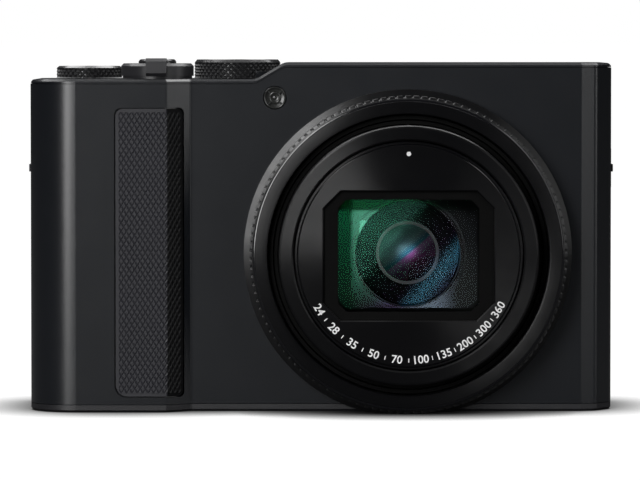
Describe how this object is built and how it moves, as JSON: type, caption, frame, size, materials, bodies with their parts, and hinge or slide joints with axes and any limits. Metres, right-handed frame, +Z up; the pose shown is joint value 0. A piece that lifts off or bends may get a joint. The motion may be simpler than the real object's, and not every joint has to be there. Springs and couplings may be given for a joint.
{
  "type": "compact digital camera",
  "caption": "Slim black compact camera with an extending zoom lens and control ring, top dials, pop-up flash, rear screen, eyepiece, battery door and tripod bush.",
  "frame": {"origin": "under the middle of the camera's overall box, on the plane of its flat base", "axes": "+X to the right seen from in front of the lens, +Y from the lens towards the screen, +Z up"},
  "size_m": [0.1122, 0.0452, 0.0673],
  "materials": {
    "body_black": "satin black anodised and painted metal",
    "cover_plastic": "fine-textured black",
    "grip_rubber": "cross-hatched black rubber",
    "dial_black": "knurled black anodised",
    "button_black": "smooth black",
    "lens_black": "black anodised, fine turned",
    "lens_plastic": "dull black",
    "lens_glass": "coated optical glass",
    "screen_glass": "dark cover glass",
    "window_clear": "clear window",
    "steel": "bright steel",
    "screw_black": "black oxide steel",
    "brass": "turned brass",
    "board_green": "solder resist",
    "cell_grey": "wrapped cell",
    "white_plastic": "moulded white"
  },
  "bodies": {
    "casing": {"front_cover": "body_black", "rear_cover": "cover_plastic", "top_cover": "body_black", "bottom_plate": "cover_plastic", "main_chassis": "steel", "main_board": "board_green", "image_sensor": "board_green", "flash_capacitor": "cell_grey", "speaker": "lens_plastic", "microphones": "steel", "af_lamp": "window_clear", "grip_insert": "grip_rubber", "thumb_rest": "grip_rubber", "strap_lugs": "screw_black", "base_screws": "screw_black", "side_screws": "screw_black", "tripod_bush": "brass", "battery": "cell_grey", "battery_box": "lens_plastic", "memory_card": "button_black", "sockets": "steel", "evf_housing": "cover_plastic", "eyepiece_glass": "screen_glass", "lcd_glass": "screen_glass", "lcd_module": "lens_plastic", "lens_flange": "lens_black", "lens_housing": "lens_plastic", "zoom_motor": "steel"},
    "control_ring": {"control_ring": "lens_black"},
    "cam_barrel": {"cam_barrel": "lens_plastic"},
    "zoom_gear": {"zoom_gear": "white_plastic"},
    "barrel_outer": {"barrel_outer": "lens_black"},
    "barrel_inner": {"barrel_inner": "lens_black", "lens_bezel": "lens_black", "front_lens": "lens_glass", "middle_lens": "lens_glass"},
    "zoom_carriage": {"zoom_carriage": "lens_plastic", "rear_lens": "lens_glass"},
    "flash_head": {"flash_head": "body_black", "flash_window": "window_clear"},
    "upper_inner_blade": {"upper_inner_blade": "lens_plastic"},
    "upper_outer_blade": {"upper_outer_blade": "lens_plastic"},
    "lower_inner_blade": {"lower_inner_blade": "lens_plastic"},
    "lower_outer_blade": {"lower_outer_blade": "lens_plastic"},
    "battery_door": {"battery_door": "cover_plastic"},
    "door_latch": {"door_latch": "button_black"},
    "port_door": {"port_door": "cover_plastic"},
    "dioptre_dial": {"dioptre_dial": "dial_black"},
    "four_way_pad": {"four_way_pad": "button_black"},
    "set_button": {"set_button": "button_black"},
    "mode_dial": {"mode_dial": "dial_black"},
    "rear_dial": {"rear_dial": "dial_black"},
    "zoom_lever": {"zoom_lever": "button_black"},
    "shutter_button": {"shutter_button": "dial_black"},
    "movie_button": {"movie_button": "button_black"},
    "power_switch": {"power_switch": "button_black"},
    "flash_switch": {"flash_switch": "button_black"},
    "menu_button": {"menu_button": "button_black"},
    "playback_button": {"playback_button": "button_black"},
    "delete_button": {"delete_button": "button_black"}
  },
  "joints": [
    {"name": "control_ring_turn", "type": "hinge", "parent": "casing", "child": "control_ring", "pos_m": [0.0165, 0, 0.0302], "axis": [0, 1, 0], "continuous": true},
    {"name": "zoom_extend", "type": "slide", "parent": "casing", "child": "barrel_outer", "axis": [0, -1, 0], "range_m": [0, 0.02]},
    {"name": "inner_extend", "type": "slide", "parent": "barrel_outer", "child": "barrel_inner", "axis": [0, -1, 0], "range_m": [0, 0.018]},
    {"name": "cam_turn", "type": "hinge", "parent": "casing", "child": "cam_barrel", "pos_m": [0.0165, 0, 0.0302], "axis": [0, 1, 0], "range_deg": [0, 150]},
    {"name": "carriage_slide", "type": "slide", "parent": "casing", "child": "zoom_carriage", "axis": [0, -1, 0], "range_m": [0, 0.009]},
    {"name": "pinion_turn", "type": "hinge", "parent": "casing", "child": "zoom_gear", "pos_m": [-0.00608, 0, 0.04915], "axis": [0, 1, 0], "range_deg": [-1320, 0]},
    {"name": "barrier_close", "type": "slide", "parent": "barrel_inner", "child": "upper_inner_blade", "axis": [0, 0, -1], "range_m": [0, 0.0107]},
    {"name": "upper_outer_close", "type": "slide", "parent": "barrel_inner", "child": "upper_outer_blade", "axis": [0, 0, -1], "range_m": [0, 0.0064]},
    {"name": "lower_inner_close", "type": "slide", "parent": "barrel_inner", "child": "lower_inner_blade", "axis": [0, 0, 1], "range_m": [0, 0.0107]},
    {"name": "lower_outer_close", "type": "slide", "parent": "barrel_inner", "child": "lower_outer_blade", "axis": [0, 0, 1], "range_m": [0, 0.0064]},
    {"name": "battery_door_open", "type": "hinge", "parent": "casing", "child": "battery_door", "pos_m": [-0.0176, 0, 0.001], "axis": [0, -1, 0], "range_deg": [0, 95]},
    {"name": "door_latch_slide", "type": "slide", "parent": "battery_door", "child": "door_latch", "axis": [1, 0, 0], "range_m": [0, 0.0028]},
    {"name": "port_door_open", "type": "hinge", "parent": "casing", "child": "port_door", "pos_m": [-0.0547, 0.0136, 0.0255], "axis": [0, 0, -1], "range_deg": [0, 95]},
    {"name": "mode_dial_turn", "type": "hinge", "parent": "casing", "child": "mode_dial", "pos_m": [-0.0161, 0.002, 0.065], "axis": [0, 0, 1], "continuous": true},
    {"name": "rear_dial_turn", "type": "hinge", "parent": "casing", "child": "rear_dial", "pos_m": [-0.045, 0.0094, 0.0645], "axis": [0, 0, 1], "continuous": true},
    {"name": "dioptre_turn", "type": "hinge", "parent": "casing", "child": "dioptre_dial", "pos_m": [0.0486, 0.0205, 0.0574], "axis": [0, 1, 0], "range_deg": [-60, 60]},
    {"name": "zoom_lever_turn", "type": "hinge", "parent": "casing", "child": "zoom_lever", "pos_m": [-0.0313, -0.0052, 0.065], "axis": [0, 0, 1], "range_deg": [-18, 18], "stiffness_Nm_per_rad": 0.02},
    {"name": "shutter_press", "type": "slide", "parent": "casing", "child": "shutter_button", "axis": [0, 0, -1], "range_m": [0, 0.001], "stiffness_N_per_m": 400},
    {"name": "movie_press", "type": "slide", "parent": "casing", "child": "movie_button", "axis": [0, 0, -1], "range_m": [0, 0.0004], "stiffness_N_per_m": 400},
    {"name": "power_slide", "type": "slide", "parent": "casing", "child": "power_switch", "axis": [1, 0, 0], "range_m": [0, 0.003]},
    {"name": "flash_release", "type": "slide", "parent": "casing", "child": "flash_switch", "axis": [1, 0, 0], "range_m": [0, 0.002], "stiffness_N_per_m": 300},
    {"name": "flash_rise", "type": "hinge", "parent": "casing", "child": "flash_head", "pos_m": [0.0075, 0.007, 0.0652], "axis": [-1, 0, 0], "range_deg": [0, 60]},
    {"name": "pad_press", "type": "slide", "parent": "casing", "child": "four_way_pad", "axis": [0, -1, 0], "range_m": [0, 0.0004], "stiffness_N_per_m": 400},
    {"name": "set_press", "type": "slide", "parent": "casing", "child": "set_button", "axis": [0, -1, 0], "range_m": [0, 0.0004], "stiffness_N_per_m": 400},
    {"name": "menu_press", "type": "slide", "parent": "casing", "child": "menu_button", "axis": [0, -1, 0], "range_m": [0, 0.0004], "stiffness_N_per_m": 400},
    {"name": "playback_press", "type": "slide", "parent": "casing", "child": "playback_button", "axis": [0, -1, 0], "range_m": [0, 0.0004], "stiffness_N_per_m": 400},
    {"name": "delete_press", "type": "slide", "parent": "casing", "child": "delete_button", "axis": [0, -1, 0], "range_m": [0, 0.0004], "stiffness_N_per_m": 400}
  ],
  "couplings": [
    {"joint": "inner_extend", "follows": "zoom_extend", "ratio": 0.9},
    {"joint": "cam_turn", "follows": "zoom_extend", "rad_per_m": 130},
    {"joint": "carriage_slide", "follows": "zoom_extend", "ratio": 0.45},
    {"joint": "pinion_turn", "follows": "zoom_extend", "rad_per_m": -1144},
    {"joint": "upper_outer_close", "follows": "barrier_close", "ratio": 0.588},
    {"joint": "lower_inner_close", "follows": "barrier_close", "ratio": 1},
    {"joint": "lower_outer_close", "follows": "barrier_close", "ratio": 0.588}
  ]
}
